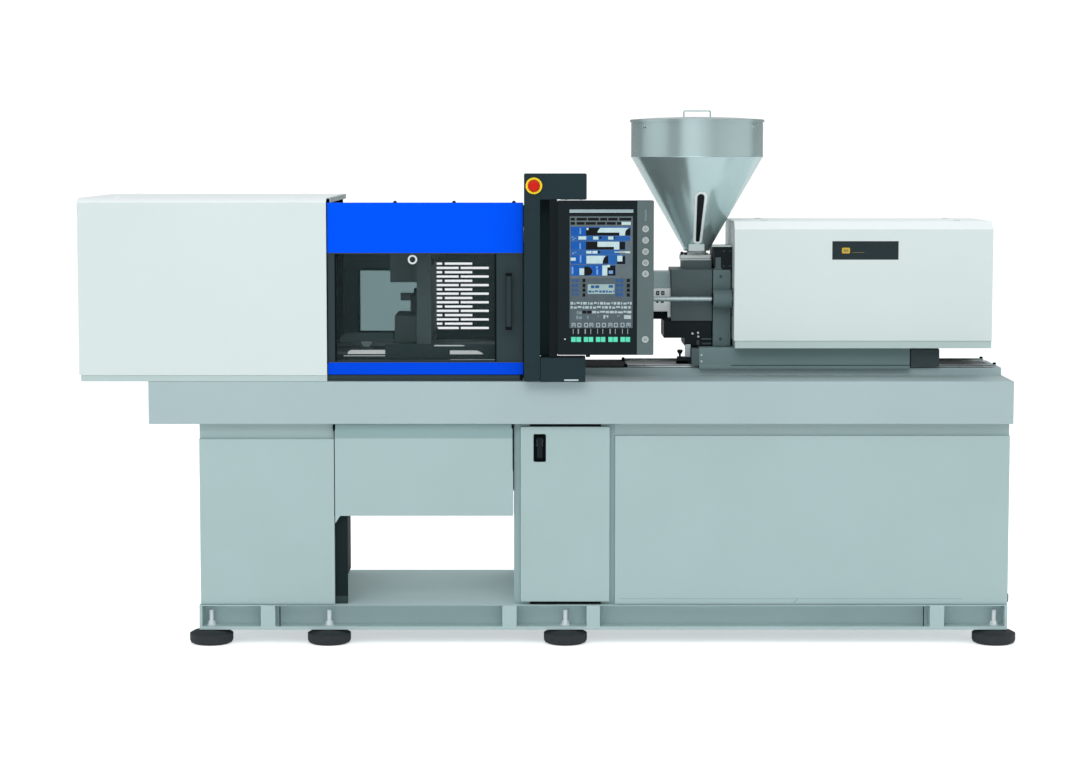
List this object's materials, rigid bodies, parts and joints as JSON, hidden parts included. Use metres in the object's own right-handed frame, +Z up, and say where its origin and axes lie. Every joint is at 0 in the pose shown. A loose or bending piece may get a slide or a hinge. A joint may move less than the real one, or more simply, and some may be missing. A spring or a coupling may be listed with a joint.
{
  "type": "injection moulding machine",
  "caption": "Horizontal electric plastics injection moulding machine with a covered toggle clamp, sliding safety doors, swing-out operator panel and hopper-fed injection carriage.",
  "frame": {"origin": "on the floor, under the middle of the machine's overall box", "axes": "+X along the machine towards the injection end, +Y away from the operator side, +Z up"},
  "size_m": [3.444, 0.95, 1.967],
  "materials": {
    "cover_white": "satin fine-textured powder coat",
    "bed_grey": "satin powder coat",
    "cabinet_grey": "satin powder coat",
    "frame_grey": "satin paint",
    "board_blue": "semi-gloss powder coat",
    "dark_paint": "satin powder coat",
    "casting_paint": "painted casting, machined faces",
    "bright_steel": "ground and hard-chromed",
    "machined_steel": "turned and ground",
    "hopper_steel": "satin stainless sheet",
    "clear_window": "clear polycarbonate",
    "smoked_window": "smoked polycarbonate",
    "pad_black": "cast foot with rubber sole",
    "zinc_steel": "zinc plated",
    "black_plastic": "fine-textured moulding",
    "panel_black": "smooth front foil",
    "strip_grey": "smooth front foil",
    "screen_glass": "cover glass over the display",
    "key_light": "satin key caps",
    "key_green": "translucent key caps",
    "stop_yellow": "moulded",
    "stop_red": "moulded",
    "heater_steel": "heater bands, lightly tinted"
  },
  "bodies": {
    "machine": {"levelling_pads": "pad_black", "levelling_studs": "zinc_steel", "base_frame": "frame_grey", "bed": "bed_grey", "left_cabinet": "cabinet_grey", "right_cabinet": "cabinet_grey", "left_panel": "cabinet_grey", "right_panel": "cabinet_grey", "chute_cover_front": "cabinet_grey", "chute_cover_rear": "cabinet_grey", "clamp_cover": "cover_white", "top_guard": "cover_white", "door_tracks": "dark_paint", "fixed_platen": "casting_paint", "tie_bars": "bright_steel", "panel_post": "dark_paint", "panel_foot": "dark_paint", "linear_rails": "machined_steel", "pull_rods": "bright_steel", "estop_collar": "stop_yellow"},
    "cabinet_door": {"cabinet_door": "cabinet_grey"},
    "door_latch": {"door_latch": "black_plastic"},
    "front_door": {"front_door_frame": "dark_paint", "front_door_boards": "board_blue", "front_door_window": "clear_window", "front_door_handle": "black_plastic"},
    "rear_door": {"rear_door": "dark_paint", "rear_door_window": "smoked_window", "rear_door_handle": "black_plastic"},
    "tail_unit": {"tail_stock": "casting_paint", "clamp_motor": "black_plastic"},
    "clamp_screw": {"clamp_screw": "machined_steel"},
    "crosshead": {"crosshead": "casting_paint"},
    "toggle_rear_upper": {"toggle_rear_upper": "casting_paint"},
    "toggle_front_upper": {"toggle_front_upper": "casting_paint"},
    "toggle_rear_lower": {"toggle_rear_lower": "casting_paint"},
    "toggle_front_lower": {"toggle_front_lower": "casting_paint"},
    "moving_platen": {"moving_platen": "casting_paint"},
    "ejector_rod": {"ejector_rod": "machined_steel"},
    "operator_panel": {"hinge_bar": "dark_paint", "panel_housing": "panel_black", "panel_screen": "screen_glass", "key_strip": "strip_grey", "round_keys": "key_light", "flat_keys": "key_green"},
    "estop_button": {"estop_button": "stop_red"},
    "injection_carriage": {"carriage": "casting_paint", "carriage_skirt": "strip_grey", "injection_cover": "cover_white", "front_plate": "casting_paint", "drive_cowl": "black_plastic", "feed_housing": "casting_paint", "feed_support": "dark_paint", "hopper_flange": "machined_steel", "barrel_cover": "cover_white", "barrel": "heater_steel", "hopper": "hopper_steel", "hopper_lid": "hopper_steel"},
    "injection_drive": {"injection_drive": "casting_paint"},
    "feed_screw": {"feed_screw": "machined_steel"}
  },
  "joints": [
    {"name": "cabinet_door_hinge", "type": "hinge", "parent": "machine", "child": "cabinet_door", "pos_m": [0.223, -0.374, 0.48], "axis": [0, 0, 1], "range_deg": [0, 110]},
    {"name": "latch_lift", "type": "hinge", "parent": "cabinet_door", "child": "door_latch", "pos_m": [-0.039, -0.366, 0.762], "axis": [-1, 0, 0], "range_deg": [0, 35], "stiffness_Nm_per_rad": 0.3},
    {"name": "front_door_slide", "type": "slide", "parent": "machine", "child": "front_door", "axis": [-1, 0, 0], "range_m": [0, 0.62]},
    {"name": "rear_door_slide", "type": "slide", "parent": "machine", "child": "rear_door", "axis": [-1, 0, 0], "range_m": [0, 0.62]},
    {"name": "die_height", "type": "slide", "parent": "machine", "child": "tail_unit", "axis": [-1, 0, 0], "range_m": [0, 0.1]},
    {"name": "clamp_opening", "type": "slide", "parent": "tail_unit", "child": "moving_platen", "axis": [-1, 0, 0], "range_m": [0, 0.25]},
    {"name": "crosshead_slide", "type": "slide", "parent": "tail_unit", "child": "crosshead", "axis": [-1, 0, 0], "range_m": [0, 0.0901]},
    {"name": "clamp_screw_spin", "type": "hinge", "parent": "tail_unit", "child": "clamp_screw", "pos_m": [-1.2, 0.025, 1.262], "axis": [1, 0, 0], "range_deg": [0, 3241]},
    {"name": "toggle_rear_upper_swing", "type": "hinge", "parent": "tail_unit", "child": "toggle_rear_upper", "pos_m": [-1.02, 0.025, 1.497], "axis": [0, 1, 0], "range_deg": [0, 70.1]},
    {"name": "toggle_rear_lower_swing", "type": "hinge", "parent": "tail_unit", "child": "toggle_rear_lower", "pos_m": [-1.02, 0.025, 1.027], "axis": [0, -1, 0], "range_deg": [0, 70.1]},
    {"name": "toggle_front_upper_swing", "type": "hinge", "parent": "moving_platen", "child": "toggle_front_upper", "pos_m": [-0.64, 0.025, 1.497], "axis": [0, -1, 0], "range_deg": [0, 70.1]},
    {"name": "toggle_front_lower_swing", "type": "hinge", "parent": "moving_platen", "child": "toggle_front_lower", "pos_m": [-0.64, 0.025, 1.027], "axis": [0, 1, 0], "range_deg": [0, 70.1]},
    {"name": "ejector_stroke", "type": "slide", "parent": "moving_platen", "child": "ejector_rod", "axis": [1, 0, 0], "range_m": [0, 0.06]},
    {"name": "panel_swing", "type": "hinge", "parent": "machine", "child": "operator_panel", "pos_m": [0.01, -0.427, 1.35], "axis": [0, 0, 1], "range_deg": [-90, 20]},
    {"name": "estop_press", "type": "slide", "parent": "machine", "child": "estop_button", "axis": [0, 1, 0], "range_m": [0, 0.005], "stiffness_N_per_m": 400},
    {"name": "carriage_slide", "type": "slide", "parent": "machine", "child": "injection_carriage", "axis": [1, 0, 0], "range_m": [0, 0.2]},
    {"name": "injection_stroke", "type": "slide", "parent": "injection_carriage", "child": "injection_drive", "axis": [1, 0, 0], "range_m": [0, 0.1]},
    {"name": "screw_spin", "type": "hinge", "parent": "injection_drive", "child": "feed_screw", "pos_m": [0.4, 0.025, 1.262], "axis": [1, 0, 0], "continuous": true}
  ],
  "couplings": [
    {"joint": "crosshead_slide", "follows": "clamp_opening", "ratio": 0.36},
    {"joint": "clamp_screw_spin", "follows": "clamp_opening", "rad_per_m": 226.19},
    {"joint": "toggle_rear_upper_swing", "follows": "clamp_opening", "rad_per_m": 4.8869},
    {"joint": "toggle_rear_lower_swing", "follows": "clamp_opening", "rad_per_m": 4.8869},
    {"joint": "toggle_front_upper_swing", "follows": "clamp_opening", "rad_per_m": 4.8869},
    {"joint": "toggle_front_lower_swing", "follows": "clamp_opening", "rad_per_m": 4.8869}
  ]
}
